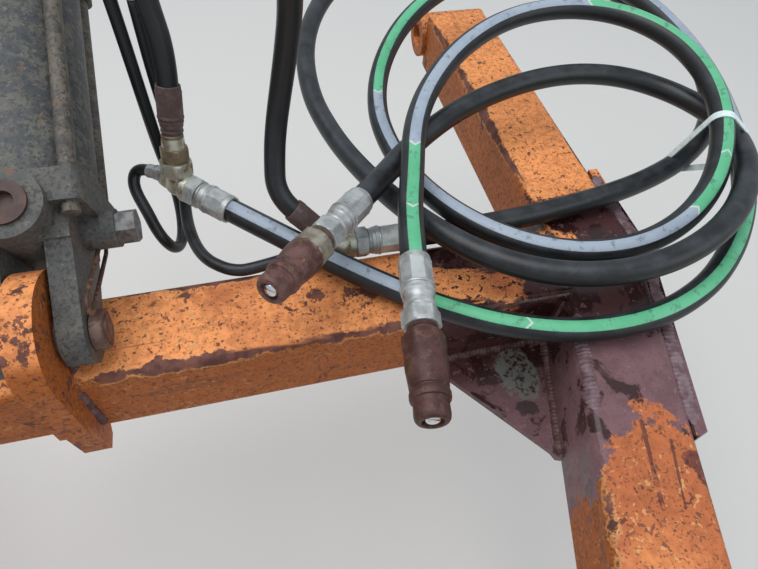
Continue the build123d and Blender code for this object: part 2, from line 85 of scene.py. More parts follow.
# Hose routes in millimetres, from each line's first fitting to its last
SUPPLY_FIRST = [
    (177, -452, 88), (235, -505, 84), (281, -541, 76), (324, -573, 69), (373, -608, 65), (435, -645, 65),
    (510, -671, 69), (588, -674, 76), (653, -655, 85), (702, -621, 92), (740, -581, 98), (771, -538, 101),
    (795, -491, 104), (813, -441, 109), (824, -385, 118), (828, -328, 127), (824, -266, 135),
    (814, -196, 140), (778, -127, 143), (710, -81, 145), (622, -70, 141), (532, -94, 130), (456, -148, 113),
    (404, -221, 95), (379, -301, 83), (379, -380, 81), (395, -453, 86), (424, -515, 92), (469, -562, 94),
    (527, -593, 97), (589, -603, 105), (644, -592, 118), (690, -563, 134), (726, -519, 146),
    (752, -465, 159), (763, -402, 169), (754, -331, 173), (716, -271, 172), (648, -241, 169),
    (565, -251, 166), (486, -297, 160), (427, -360, 154), (390, -424, 151), (372, -486, 137),
    (353, -544, 134), (342, -601, 136),
]
SUPPLY_SECOND = [
    (357, -510, 67), (403, -510, 65), (470, -508, 64), (537, -505, 67), (607, -499, 71), (677, -486, 74),
    (747, -461, 77), (808, -420, 79), (844, -368, 88), (848, -321, 109), (848, -251, 116), (849, -153, 107),
    (811, -64, 106), (731, -4, 114), (619, 22, 128), (510, 22, 135), (423, 2, 126), (351, -63, 112),
    (308, -156, 98), (299, -255, 83), (316, -342, 76), (339, -414, 79), (362, -477, 88), (389, -533, 98),
    (424, -577, 102), (465, -608, 105), (510, -629, 110), (558, -640, 118), (609, -639, 128),
    (661, -622, 138), (710, -587, 142), (750, -537, 140), (774, -479, 133), (775, -422, 125),
    (748, -375, 123), (703, -345, 126), (647, -331, 128), (588, -331, 127), (527, -343, 123),
    (469, -367, 121), (417, -402, 122), (375, -437, 121), (342, -468, 117), (310, -504, 126),
]
RISER_FIRST = [
    (139, -375, 192), (144, -365, 226), (139, -351, 266), (136, -340, 310), (130, -332, 360),
    (110, -323, 412), (70, -312, 450), (18, -301, 466), (-32, -287, 456), (-70, -270, 422),
    (-88, -252, 376), (-90, -234, 328),
]
RISER_SECOND = [
    (246, -489, 109), (228, -479, 125), (233, -457, 163), (239, -446, 191), (247, -440, 224),
    (255, -440, 263), (261, -448, 306), (260, -462, 350), (248, -479, 394), (223, -491, 435),
    (186, -499, 468), (136, -502, 489), (80, -504, 496), (23, -506, 485), (-27, -511, 455),
    (-63, -521, 412), (-83, -536, 361), (-90, -548, 307), (-90, -547, 254), (-90, -521, 199),
]
THIN_FIRST = [
    (95, -376, 89), (85, -369, 88), (75, -370, 81), (73, -383, 70), (84, -408, 54), (89, -421, 41),
    (96, -430, 27), (103, -429, 11), (109, -416, 1), (113, -396, 4), (115, -379, 20), (115, -366, 46),
    (111, -358, 77), (108, -351, 112), (106, -341, 147), (104, -330, 183), (102, -319, 218),
    (100, -310, 252), (98, -302, 294),
]
THIN_SECOND = [
    (233, -508, 58), (189, -516, 57), (171, -512, 56), (158, -503, 55), (145, -490, 54), (135, -470, 53),
    (129, -445, 53), (126, -418, 54), (127, -395, 61), (128, -375, 78), (127, -354, 105), (125, -342, 138),
    (123, -333, 169), (122, -324, 204), (122, -312, 254),
]

# Where the first supply hose's stripe turns from white to green or back, along the hose in metres
STRIPE_TURNS = (0.228, 0.693, 1.323, 1.661, 2.166, 2.57, 2.968)
STRIPE_CHEVRONS = (0.347, 2.25, 3.054)
STRIPE_POINT = 0.07      # metres along the hose that a point recedes by, per whole turn from its middle

# The white tie's place on the first supply hose, and how far off it takes hoses in, in metres
TIE_AT = (0.758, -0.492, 0.155)
TIE_REACH = 0.112
TIE_THICK = 0.0012
TIE_GAP = 0.0004

# For the marks and the welds, in metres
GUSSET_TOP = -0.038      # upper face of the lower gussets
LUG_FACE = 0.0145        # a weld's line on the lug, from the lug's middle
BEAD_STEP = 0.0011       # from one ring of a weld to the next

# Where the oil at the right joint ends, in metres
OIL_CROSS_X = 0.372               # on the crossbar, going in
OIL_REAR_Y = CROSS_Y + 0.095      # on the rear leg, going back
OIL_FRONT_Y = CROSS_Y - 0.185     # on the front leg, at the tip of a wedge
OIL_TIP_X = 0.551                 # and the tip's place across that leg

# Marks on the paint: two ends, a radius and a colour, or None where paint shows through the oil
MARKS = (
    ((0.4, -0.576, TUBE_HALF), (0.455, -0.596, TUBE_HALF), 0.026, None),
    ((0.52, -0.52, TUBE_HALF), (0.556, -0.534, TUBE_HALF), 0.016, None),
    ((0.47, -0.64, GUSSET_TOP), (0.472, -0.668, GUSSET_TOP), 0.024, (0.19, 0.205, 0.18)),
    ((0.462, -0.696, GUSSET_TOP), (0.47, -0.698, GUSSET_TOP), 0.01, (0.04, 0.03, 0.032)),
    ((0.562, -0.812, TUBE_HALF), (0.57, -0.838, TUBE_HALF), 0.013, (0.07, 0.028, 0.036)),
    ((0.53, -0.765, TUBE_HALF), (0.508, -0.842, TUBE_HALF), 0.0022, (0.08, 0.03, 0.034)),
    ((0.548, -0.788, TUBE_HALF), (0.528, -0.846, TUBE_HALF), 0.0016, (0.1, 0.04, 0.036)),
    ((0.575, -0.85, TUBE_HALF), (0.56, -0.93, TUBE_HALF), 0.0045, (0.085, 0.03, 0.036)),
)


def size_property(name, default, description):
    return FloatProperty(name=name, default=default, description=description, subtype="DISTANCE",
                         unit="LENGTH")


def power_property(name, default, description):
    return FloatProperty(name=name, default=default, description=description, subtype="POWER", unit="POWER")


def colour_property(name, default, description):
    return FloatVectorProperty(name=name, default=default, description=description, size=3, min=0.0,
                               max=1.0, subtype="COLOR")


class DRAWBAR_hoses(PropertyGroup):
    """Sizes and colours of the hydraulic hoses and of what is crimped on them."""
    supply: size_property("Supply hose", 0.026, "Outer diameter of the two long hoses")
    riser: size_property("Riser hose", 0.0215, "Outer diameter of the two hoses to the cylinder")
    thin: size_property("Thin hose", 0.0134, "Outer diameter of the two small hoses")
    stripe: FloatProperty(name="Stripe", default=0.155, min=0.0, max=1.0, subtype="FACTOR",
                          description="Part of the first supply hose's girth that its stripe covers")
    rubber: colour_property("Rubber", (0.0085, 0.0098, 0.0112), "Colour of clean hose cover")
    # Partly dust, partly painted sheen: the colour that the hoses' upper side takes
    dust_and_sheen: colour_property("Dust", (0.04, 0.046, 0.054), "Colour of the dry film on the hoses' upper side")
    green: colour_property("Green stripe", (0.125, 0.5, 0.27), "Colour of the stripe's green stretches")
    white: colour_property("White stripe", (0.36, 0.42, 0.5), "Colour of the stripe's pale stretches")
    ferrule_wall: size_property("Ferrule wall", 0.0036, "How far a ferrule stands out from its hose")
    crimps: IntProperty(name="Crimps", default=8, min=4, max=16, description="Flats round a ferrule")
    tie_width: size_property("Tie width", 0.0085, "Width of the white tie round the coil")


class DRAWBAR_paint(PropertyGroup):
    """Colours of the weathered steel."""
    orange: colour_property("Orange paint", (0.53, 0.16, 0.062), "Colour of the sound paint")
    faded: colour_property("Faded paint", (0.97, 0.365, 0.128), "Colour of paint that the sun has bleached")
    # Painted shade: the darker copy of the paint on upright faces
    painted_shade: colour_property("Low paint", (0.36, 0.095, 0.016), "Colour of the paint on upright faces")
    rust: colour_property("Rust", (0.1, 0.042, 0.036), "Colour of the dark rust where paint is gone")
    mauve: colour_property("Soaked rust", (0.205, 0.11, 0.122), "Colour of rust soaked in oil")
    cream: colour_property("Chips", (0.8, 0.46, 0.19), "Colour of small pale chips")


class DRAWBAR_studio(PropertyGroup):
    """The floor and the lights."""
    floor_drop: size_property("Floor drop", 0.62, "How far the floor lies below the drawbar's plane")
    key: power_property("Key light", 62.0, "Power of the large soft light")
    fill: power_property("Fill light", 20.0, "Power of the second light")
    sky: FloatProperty(name="Sky", default=0.62, description="Strength of the even light from all round")
    floor: colour_property("Floor", (0.74, 0.72, 0.69), "Colour of the floor")


# Shader maths


class Shade:
    """A socket of a material's nodes. Arithmetic on it adds the Math nodes."""

    def __init__(self, tree, socket=None):
        self.tree = tree
        self.socket = socket

    def node(self, kind, settings=None, sockets=None, output=0):
        """Adds a node: its settings first, then the values or links of its sockets."""
        new = self.tree.nodes.new(kind)
        for key, value in (settings or {}).items():
            setattr(new, key, value)
        for key, value in (sockets or {}).items():
            if isinstance(value, Shade):
                self.tree.links.new(value.socket, new.inputs[key])
            else:
                new.inputs[key].default_value = value
        return Shade(self.tree, new.outputs[output])

    def maths(self, operation, *values):
        return self.node("ShaderNodeMath", {"operation": operation}, dict(enumerate(values)))

    def __add__(self, other):
        return self.maths("ADD", self, other)

    def __radd__(self, other):
        return self.maths("ADD", other, self)

    def __sub__(self, other):
        return self.maths("SUBTRACT", self, other)

    def __rsub__(self, other):
        return self.maths("SUBTRACT", other, self)

    def __mul__(self, other):
        return self.maths("MULTIPLY", self, other)

    def __rmul__(self, other):
        return self.maths("MULTIPLY", other, self)

    def low(self, other):
        return self.maths("MINIMUM", self, other)

    def high(self, other):
        return self.maths("MAXIMUM", self, other)

    def size(self):
        return self.maths("ABSOLUTE", self)

    def rise(self, start, end):
        """0 below start, 1 above end and a smooth slope between; end may be the lower one."""
        return self.node("ShaderNodeMapRange", {"interpolation_type": "SMOOTHSTEP"},
                         {"Value": self, "From Min": start, "From Max": end})

    def parts(self):
        """The three components of a vector."""
        split = self.tree.nodes.new("ShaderNodeSeparateXYZ")
        self.tree.links.new(self.socket, split.inputs[0])
        return [Shade(self.tree, s) for s in split.outputs]

    def noise(self, scale, detail=4.0, rough=0.55, stretch=None, twist=0.0):
        """Cloudy noise, from about 0.3 to 0.7, on this vector."""
        where = self
        if stretch is not None:
            where = self.node("ShaderNodeMapping", {"vector_type": "POINT"}, {
                "Vector": self, "Scale": stretch})
        return self.node("ShaderNodeTexNoise", None, {
            "Vector": where, "Scale": scale, "Detail": detail, "Roughness": rough, "Distortion": twist})

    def vector(self, operation, *values, output=0):
        return self.node("ShaderNodeVectorMath", {"operation": operation}, dict(enumerate(values)), output)

    def near(self, first, last):
        """Distance of this place from the line between two points."""
        along = Vector(last) - Vector(first)
        off = self.vector("SUBTRACT", self, tuple(first))
        share = self.vector("DOT_PRODUCT", off, tuple(along / along.length_squared), output=1)
        share = share.high(0.0).low(1.0)
        foot = self.node("ShaderNodeVectorMath", {"operation": "SCALE"}, {0: tuple(along), "Scale": share})
        return self.vector("LENGTH", self.vector("SUBTRACT", off, foot), output=1)

    def blend(self, under, over):
        """under where this mask is 0 and over where it is 1; each is a colour or a colour socket."""
        return self.node("ShaderNodeMix", {"data_type": "RGBA"}, {
            "Factor": self, 6: rgba(under), 7: rgba(over)}, 2)


def rgba(colour):
    return colour if isinstance(colour, Shade) else (*tuple(colour)[:3], 1.0)


def new_finish(name):
    """An empty material and its object coordinates."""
    material = bpy.data.materials.new(name)
    material.use_nodes = True
    return material, Shade(material.node_tree).node("ShaderNodeTexCoord", output="Object")


def layered(colour, *coats):
    """A colour with coats laid over it in turn, each a mask and a tone."""
    for mask, tone in coats:
        colour = mask.blend(colour, tone)
    return colour


def wear(material, colour, rough, relief=None, depth=0.0004, metal=0.0, coat=None, coat_rough=0.1):
    """Joins colour, roughness and relief to a material's shader."""
    tree = material.node_tree
    shader = tree.nodes["Principled BSDF"]
    values = {"Base Color": colour, "Roughness": rough, "Metallic": metal, "Coat Weight": coat}
    for key, value in values.items():
        if isinstance(value, Shade):
            tree.links.new(value.socket, shader.inputs[key])
        elif value is not None:
            shader.inputs[key].default_value = rgba(value) if key == "Base Color" else value
    shader.inputs["Coat Roughness"].default_value = coat_rough
    if relief is not None:
        bump = relief.node("ShaderNodeBump", None, {"Height": relief, "Distance": depth, "Strength": 1.0})
        tree.links.new(bump.socket, shader.inputs["Normal"])
    return material


# Surfaces


def unit(v):
    v = np.asarray(v, float)
    return v / np.linalg.norm(v, axis=-1, keepdims=True)


def add_object(name, data):
    obj = bpy.data.objects.new(name, data)
    bpy.context.scene.collection.objects.link(obj)
    return obj


def make_object(name, mesh, sharp):
    """A smooth object of a mesh, with its edges past an angle in degrees kept sharp."""
    mesh.polygons.foreach_set("use_smooth", [True] * len(mesh.polygons))
    if sharp is not None:
        mesh.set_sharp_from_angle(angle=radians(sharp))
    mesh.update()
    return add_object(name, mesh)


def skin(name, rows, along, sharp=None):
    """Mesh over a grid of points, rows by columns. Columns close round, and a face closes each end.

    u runs from 0 to 1 round a row, and v is each row's distance along the piece.
    """
    count, around = rows.shape[:2]
    index = np.arange(count * around).reshape(count, around)
    right = np.roll(index, -1, axis=1)
    quads = np.stack([index[:-1], right[:-1], right[1:], index[1:]], axis=-1).reshape(-1, 4)
    faces = quads.tolist() + [index[0][::-1].tolist(), index[-1].tolist()]
    mesh = bpy.data.meshes.new(name)
    mesh.from_pydata(rows.reshape(-1, 3).tolist(), [], faces)
    u = np.tile(np.arange(around), (count - 1, 1))
    u = np.stack([u, u + 1, u + 1, u], axis=-1) / around
    v = np.stack([along[:-1], along[:-1], along[1:], along[1:]], axis=-1)[:, None] * np.ones((1, around, 1))
    uv = np.zeros((len(mesh.loops), 2))
    uv[:u.size] = np.stack([u.ravel(), v.ravel()], axis=1)
    mesh.uv_layers.new(name="Round and along").data.foreach_set("uv", uv.ravel())
    return make_object(name, mesh, sharp)


def turned(name, start, way, rows, around=48, sharp=32):
    """A lathe profile cut by flats.

    rows hold distance along and envelope radius, and on a flatted stretch also the radius to the flats and
    their number. The radius at an angle is the smaller of the envelope and the flat's distance over the
    cosine of the angle from its middle.
    """
    way = unit(way)
    side = unit(np.cross(way, (0.0, 0.0, 1.0)))
    up = np.cross(side, way)
    angle = np.linspace(0, 2 * pi, around, endpoint=False)
    table = np.array([(*row, 0, 3)[:4] for row in rows], float)
    s, envelope, flat, count = table.T[:, :, None]
    from_middle = np.mod(angle + pi / count, 2 * pi / count) - pi / count
    cut = np.where(flat > 0, flat / np.cos(from_middle), np.inf)
    radius = np.minimum(envelope, cut)
    spot = np.asarray(start, float) + s[..., None] * way
    ring = np.cos(angle)[:, None] * up + np.sin(angle)[:, None] * side
    return skin(name, spot + radius[..., None] * ring, s[:, 0], sharp)


def route_line(points):
    """Points, in metres, read from the NURBS spline that has a route's points as its control points."""
    curve = bpy.data.curves.new("Route", "CURVE")
    curve.dimensions = "3D"
    spline = curve.splines.new("NURBS")
    spline.points.add(len(points) - 1)
    for p, where in zip(spline.points, points):
        p.co = (*(Vector(where) * MM), 1.0)
    spline.order_u = 3
    spline.use_endpoint_u = True
    spline.resolution_u = 12
    holder = bpy.data.objects.new("Route", curve)
    mesh = bpy.data.meshes.new_from_object(holder)
    line = np.empty(len(mesh.vertices) * 3)
    mesh.vertices.foreach_get("co", line)
    bpy.data.objects.remove(holder)
    bpy.data.curves.remove(curve)
    bpy.data.meshes.remove(mesh)
    return line.reshape(-1, 3)


def distances(line):
    """Distance along a line at each of its points."""
    steps = np.linalg.norm(np.diff(line, axis=0), axis=1)
    return np.concatenate([[0.0], np.cumsum(steps)])


def oval(line, face, high, wide, around):
    """Rings across a line: its point plus high * cos(angle) towards face plus wide * sin(angle) aside."""
    way = unit(np.gradient(line, axis=0))
    up = unit(face - (way @ np.asarray(face, float))[:, None] * way)
    side = np.cross(way, up)
    angle = np.linspace(0, 2 * pi, around, endpoint=False)[None, :, None]
    ring = np.cos(angle) * up[:, None, :] * high + np.sin(angle) * side[:, None, :] * wide
    return line[:, None, :] + ring


def pipe(name, line, diameter, face, around=32):
    """Tube along a line, of round rings. Its u = 0 side turns towards face, a direction, at every point."""
    return skin(name, oval(line, face, diameter / 2, diameter / 2, around), distances(line))


def bead(name, line, width, height, seed, rise, around=14):
    """Weld along a line: a low oval section whose size swells and falls in overlapping ripples.

    Half-width = width / 2 * (1 + 0.1 sin(2 pi s / pitch) + noise), and the same for the height. It
    thins to nothing at its ends, and its line wanders by half a millimetre.
    """
    rng = np.random.default_rng(seed)
    line = np.asarray(line, float)
    s = distances(line)
    step = np.linspace(0, s[-1], max(int(s[-1] / BEAD_STEP), 6))

    def drift(size, gap):
        knots = np.arange(0, s[-1] + 0.02, gap)
        return np.interp(step, knots, rng.normal(0, size, len(knots)))

    spots = np.stack([np.interp(step, s, line[:, k]) for k in range(3)], axis=1)
    spots += np.stack([drift(0.00045, 0.009) for _ in range(3)], axis=1)
    swell = 1 + 0.1 * np.sin(2 * pi * step / (0.0032 + 0.12 * width)) + drift(0.11, 0.006)
    ends = np.clip(np.minimum(step, s[-1] - step) / (0.5 * width), 0.05, 1.0) ** 0.5
    size = (swell * ends)[:, None, None]
    return skin(name, oval(spots, rise, height * size, width / 2 * size, around), step)


def loop_band(name, centre, way, spots, radius, width, thick):
    """Band pulled tight round several hoses, across way at centre.

    Its inner line is the hull of the hoses' circles: at an angle, the farthest of their outer points.
    """
    side = unit(np.cross((0.0, 0.0, 1.0), way))
    up = np.cross(way, side)
    angle = np.linspace(0, 2 * pi, 160, endpoint=False)
    out = np.cos(angle)[:, None] * side + np.sin(angle)[:, None] * up
    farthest = np.argmax(out @ (np.array(spots) - centre).T, axis=1)
    inner = np.array(spots)[farthest] + out * radius
    inner = inner - ((inner - centre) @ way)[:, None] * way
    corners = ((-0.5, 0.0), (0.5, 0.0), (0.5, 1.0), (-0.5, 1.0))
    rows = np.stack([inner + out * thick * high + way * width * wide for wide, high in corners], axis=0)
    index = np.arange(4 * len(angle)).reshape(4, -1)
    ahead = np.roll(index, -1, axis=1)
    faces = np.stack([index, np.roll(index, -1, axis=0), np.roll(ahead, -1, axis=0), ahead], axis=-1)
    mesh = bpy.data.meshes.new(name)
    mesh.from_pydata(rows.reshape(-1, 3).tolist(), [], faces.reshape(-1, 4).tolist())
    return make_object(name, mesh, 40)


def nut_face(route, size, beyond=0.0):
    """Where the nut at a line's first end stops, and further by beyond."""
    away = unit(np.array(route[0], float) - np.array(route[1], float))
    return np.array(route[0], float) * MM + away * (sum(FITTINGS[size]["tee"]) + beyond)


def arm_piece(name, centre, end, radius, rim):
    """A fitting's arm: a half round at its centre, a waist, and a rim where a nut meets it."""
    span = float(np.linalg.norm(end - centre))
    ball = radius + 0.0015
    rows = [(-ball * cos(t), ball * sin(t)) for t in np.linspace(0.12, pi / 2, 7)]
    rows += [(span * 0.3, radius), (max(span - 0.0095, span * 0.35), radius * 0.98)]
    if rim:
        rows += [(span - 0.008, radius + rim * 0.8), (span - 0.0072, radius + rim),
                 (span - 0.0012, radius + rim), (span - 0.0003, radius + rim * 0.8)]
    else:
        rows += [(span - 0.0004, radius * 0.9)]
    return turned(name, centre, end - centre, rows, 40, 34)


def add_piece(obj, material, body="drawbar", replaced=()):
    """Gives a piece its finish, its body and the nodes that it stands for."""
    obj.data.materials.append(material)
    if body:
        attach(obj, body)
    if replaced:
        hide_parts(*replaced)


def dress(material, *names):
    """Gives CAD nodes a finish."""
    for name in names:
        slots = NODES[name].data.materials
        slots.clear()
        slots.append(material)


# Finishes


def tube_finish(name, centre, turn, bleached, ridge=0.004):
    """Worn paint on a square tube. bleached moves it to the faded tone; ridge is how wide corners rust."""
    material, place = new_finish(name)
    local = place.node("ShaderNodeMapping", {"vector_type": "TEXTURE"}, {
        "Vector": place, "Location": centre, "Rotation": (0.0, 0.0, turn)})
    _, across, up = local.parts()
    near_corner = across.size().low(up.size())
    # Upright faces, which take the painted shade
    upright = up.size().rise(TUBE_HALF - 0.0015, TUBE_HALF - 0.006)
    return paint_layers(material, place, local, near_corner, upright, bleached, ridge)


def plate_finish(name):
    """The same paint on a plate, with no corner line and a little more rust."""
    material, place = new_finish(name)
    up = place.node("ShaderNodeTexCoord", output="Normal").parts()[2]
    # Upright faces, which take the painted shade
    upright = up.size().rise(0.75, 0.45)
    return paint_layers(material, place, place, up * 0.0, upright, 0.15, rusty=0.03)


def paint_layers(material, place, local, near_corner, upright, bleached, ridge=0.004, rusty=0.0):
    """Paint, then scratches, chips and rust, then spilt oil, laid over one another by noise masks."""
    paint = bpy.context.scene.drawbar_paint
    cloud = place.noise(7.0, 5.0, 0.6)
    fine = place.noise(120.0, 3.0, 0.6)
    ragged = place.noise(38.0, 6.0, 0.7)
    streak = local.noise(26.0, 5.0, 0.62, stretch=(0.16, 1.0, 1.0))

    # Sound paint: its colour, then what lies on it; upright faces get painted shade
    blotch = place.noise(21.0, 5.0, 0.66, twist=0.6).rise(0.52, 0.64) * min(0.42 - bleached, 0.6)
    scratch = local.noise(70.0, 3.0, 0.6, stretch=(0.05, 1.0, 1.0)).rise(0.6, 0.64)
    chips = place.noise(165.0, 2.0, 0.5).rise(0.625, 0.655) * cloud.rise(0.44, 0.56)
    dirt = place.noise(210.0, 2.0, 0.6).rise(0.56, 0.62) * upright
    colour = layered(
        (cloud + bleached).rise(0.42, 0.62).blend(paint.orange, paint.faded),
        (blotch, (0.42, 0.13, 0.05)),
        # Painted shade: upright faces take a darker copy of the paint
        (upright * 0.9, paint.painted_shade),
        (fine.rise(0.44, 0.6) * 0.28, (0.26, 0.08, 0.03)),
        (scratch * cloud.rise(0.4, 0.6) * 0.5, (0.2, 0.075, 0.04)),
        (chips * (0.55 - upright * 0.3), paint.cream),
        (dirt * 0.55, (0.12, 0.04, 0.018)))

    # Bare rust: along the corners, in patches, specks and pits, with a pale rim of broken paint
    corner = near_corner + (ragged - 0.5) * 0.03 + (streak - 0.5) * 0.018
    edge = TUBE_HALF - ridge
    worn = corner.rise(edge, edge + 0.0022) * streak.rise(0.45, 0.53)
    rim = corner.rise(edge - 0.0027, edge - 0.001) * (1.0 - worn) * streak.rise(0.49, 0.56)
    patch = (ragged * 0.6 + place.noise(11.0, 3.0, 0.5) * 0.4).rise(0.6 - rusty, 0.62 - rusty)
    specks = place.noise(150.0, 3.0, 0.55).rise(0.635 - rusty, 0.66 - rusty)
    pits = place.noise(320.0, 2.0, 0.5).rise(0.61, 0.66)
    bare = worn.high(patch).high(specks * 0.85).high(pits * 0.6)
    rust = place.noise(60.0, 4.0, 0.6).rise(0.35, 0.65).blend(paint.rust, (0.21, 0.09, 0.068))
    colour = layered(colour, (rim * 0.35, paint.cream), (bare, rust))

    # Oil-soaked steel of the right joint, darker behind, with the single marks on it
    soaked = joint_oil(place, ragged, upright)
    behind = place.parts()[1].rise(CROSS_Y - 0.125, CROSS_Y - 0.065)
    wet = place.noise(24.0, 4.0, 0.62, twist=0.5) + behind * 0.075
    damp = layered(
        (place.noise(48.0, 5.0, 0.68).rise(0.36, 0.62) * 0.45).blend(paint.mauve, (0.115, 0.062, 0.066)),
        (behind * 0.88, (0.062, 0.02, 0.018)),
        (wet.rise(0.54, 0.6) * 0.88, (0.03, 0.008, 0.008)),
        (specks * 0.35, (0.3, 0.19, 0.18)))
    for first, last, radius, tone in MARKS:
        reach = place.near(first, last) + (ragged - 0.5) * min(radius * 3.0, 0.03)
        if tone is None:
            open_paint = (reach + (streak - 0.5) * 0.09).rise(radius, radius * 0.8) * fine.rise(0.38, 0.44)
            soaked = soaked * (1.0 - open_paint)
        else:
            grain = fine.rise(0.4, 0.52) if tone[1] > 0.1 else ragged.rise(0.36, 0.46)
            mark = reach.rise(radius, radius * 0.86) * grain * 0.75
            colour = mark.blend(colour, tone)
            damp = mark.blend(damp, tone)
    colour = soaked.blend(colour, damp)
    gloss = soaked * (0.25 + wet.rise(0.52, 0.6) * 0.75)
    rough = 0.52 + (fine - 0.5) * 0.5 + bare * 0.12 - gloss * 0.26
    relief = (1.0 - bare) * 0.55 + fine * 0.22 + ragged * 0.35
    material.node_tree.nodes["Principled BSDF"].inputs["Specular IOR Level"].default_value = 0.16
    return wear(material, colour, rough, relief, 0.001, coat=gloss * 0.55, coat_rough=0.16)


def joint_oil(place, ragged, upright):
    """Where spilt oil has darkened the right joint: up to a line across each of the three tubes.

    The least of the distances inside the three lines, with a ragged edge, and further out on upright faces,
    where the oil ran down. The front leg's line is a wedge that points back along the leg.
    """
    x, y, _ = place.parts()
    off = x - OIL_TIP_X
    wedge = off.size() * 1.25 + off * 0.65
    inside = (x - OIL_CROSS_X).low(OIL_REAR_Y - y).low(y + wedge - OIL_FRONT_Y)
    return (inside + (ragged - 0.5) * 0.13 + upright * 0.01).rise(-0.004, 0.004)


def cast_finish(name, base=(0.082, 0.082, 0.077), light=(0.122, 0.115, 0.102)):
    """Dark paint over a rough casting, with dry dust and worn spots."""
    material, place = new_finish(name)
    cloud = place.noise(14.0, 6.0, 0.65)
    pores = place.noise(260.0, 3.0, 0.6)
    mottle = place.noise(55.0, 5.0, 0.7)
    stain = place.noise(32.0, 5.0, 0.6).rise(0.63, 0.68)
    scuffs = place.noise(190.0, 3.0, 0.6).rise(0.62, 0.67)
    colour = layered(
        mottle.rise(0.42, 0.6).blend(base, light),
        (cloud.rise(0.52, 0.62) * 0.35, (0.05, 0.052, 0.055)),
        (stain * 0.6, (0.2, 0.1, 0.06)),
        (pores.rise(0.52, 0.6) * 0.7, (0.035, 0.035, 0.037)),
        (scuffs * 0.4, (0.26, 0.24, 0.21)))
    rough = 0.62 + (mottle - 0.5) * 0.3
    return wear(material, colour, rough, pores * 0.6 + mottle * 0.5, 0.0008)


def zinc_finish(name, tone, rusty=(0.22, 0.13, 0.08), share=0.56, metal=0.75, rough=0.36):
    """Dull plating that rust shows through in spots."""
    material, place = new_finish(name)
    cloud = place.noise(70.0, 5.0, 0.6)
    fine = place.noise(420.0, 2.0, 0.5)
    colour = cloud.rise(0.4, 0.62).blend(tone, [c * 0.68 for c in tone])
    spots = (cloud * 0.5 + place.noise(160.0, 4.0, 0.6) * 0.5).rise(share, share + 0.035)
    colour = spots.blend(colour, rusty)
    return wear(material, colour, rough + fine * 0.12 + spots * 0.25, fine * 0.3 + spots * 0.4,
                0.0003, metal - spots * 0.55)


def plug_finish(name):
    """Dark red rust on the middle plug, and dull plating on the ones out to the sides."""
    material, place = new_finish(name)
    cloud = place.noise(80.0, 5.0, 0.6)
    fine = place.noise(420.0, 2.0, 0.5)
    red = cloud.rise(0.4, 0.62).blend((0.085, 0.034, 0.026), (0.045, 0.018, 0.014))
    grey = cloud.rise(0.4, 0.62).blend((0.2, 0.2, 0.2), (0.085, 0.08, 0.08))
    aside = place.parts()[0].size().rise(0.03, 0.034)
    return wear(material, aside.blend(red, grey), 0.42 + fine * 0.15, fine * 0.4 + cloud * 0.3,
                0.0003, aside * 0.5)


def rubber_base(name):
    """Black hose cover, lighter on its upper side with a dry film and painted sheen, and the noises that
    gloss and relief follow.
    """
    hoses = bpy.context.scene.drawbar_hoses
    material, place = new_finish(name)
    up = place.node("ShaderNodeTexCoord", output="Normal").parts()[2]
    cloud = place.noise(36.0, 5.0, 0.62)
    # The upper side lightens: partly a dry film, partly painted sheen
    film_and_sheen = up.rise(0.1, 1.0) * cloud.rise(0.34, 0.7)
    colour = (film_and_sheen * 0.85).blend(hoses.rubber, hoses.dust_and_sheen)
    return material, place, colour, cloud, place.noise(620.0, 2.0, 0.5)


def coupler_finish(name, start, way, plated):
    """Brown rust with tan and olive spots, and worn plating on the hexagon where plated is 1."""
    material, place = new_finish(name)
    along = place.vector("DOT_PRODUCT", place.vector("SUBTRACT", place, tuple(start)), tuple(way), output=1)
    cloud = place.noise(75.0, 5.0, 0.62)
    blotch = place.noise(130.0, 4.0, 0.6, twist=0.8)
    fine = place.noise(520.0, 3.0, 0.6)
    if plated:
        dark, light = (0.085, 0.034, 0.028), (0.165, 0.08, 0.07)
    else:
        dark, light = (0.06, 0.022, 0.018), (0.098, 0.04, 0.034)
    olive = place.noise(60.0, 4.0, 0.6, twist=1.2).rise(0.57, 0.64)
    lilac = place.noise(95.0, 4.0, 0.55).rise(0.62, 0.66)
    colour = layered(
        cloud.rise(0.38, 0.62).blend(dark, light),
        (blotch.rise(0.56, 0.66) * (0.25 + 0.4 * plated), (0.29, 0.15, 0.09)),
        (olive * (0.25 + 0.35 * plated), (0.15, 0.115, 0.045)),
        (lilac * 0.3, (0.17, 0.11, 0.105)))
    edge = cloud * 0.016
    hexagon = (along - edge).rise(-0.002, 0.0005) * (along + edge * 0.8).rise(0.0345, 0.0325)
    mask = hexagon * plated
    zinc = cloud.rise(0.42, 0.6).blend((0.4, 0.37, 0.3), (0.26, 0.22, 0.17))
    colour = mask.blend(colour, zinc)
    rough = 0.46 + (cloud - 0.5) * 0.35 + fine * 0.08
    return wear(material, colour, rough, fine * 0.5 + blotch * 0.6, 0.0004, 0.25 + mask * 0.35)


def weld_finish(name, tone=(0.075, 0.03, 0.028), light=(0.155, 0.085, 0.08)):
    """Rusted weld metal."""
    material, place = new_finish(name)
    cloud = place.noise(85.0, 5.0, 0.65)
    fine = place.noise(420.0, 3.0, 0.6)
    colour = cloud.rise(0.38, 0.64).blend(tone, light)
    return wear(material, colour, 0.5 + fine * 0.2, fine * 0.6 + cloud * 0.4, 0.0005, 0.15)


def nylon_finish(name):
    """White nylon with faint grey dirt."""
    material, place = new_finish(name)
    cloud = place.noise(150.0, 4.0, 0.6)
    colour = cloud.rise(0.45, 0.65).blend((0.74, 0.86, 0.84), (0.6, 0.68, 0.66))
    return wear(material, colour, 0.42 + cloud * 0.1, cloud, 0.0001)


def plain_hose_finish(name):
    """Black hose cover without a stripe."""
    material, _, colour, cloud, weave = rubber_base(name)
    return wear(material, colour, 0.3 + cloud * 0.16, weave, 0.00022)


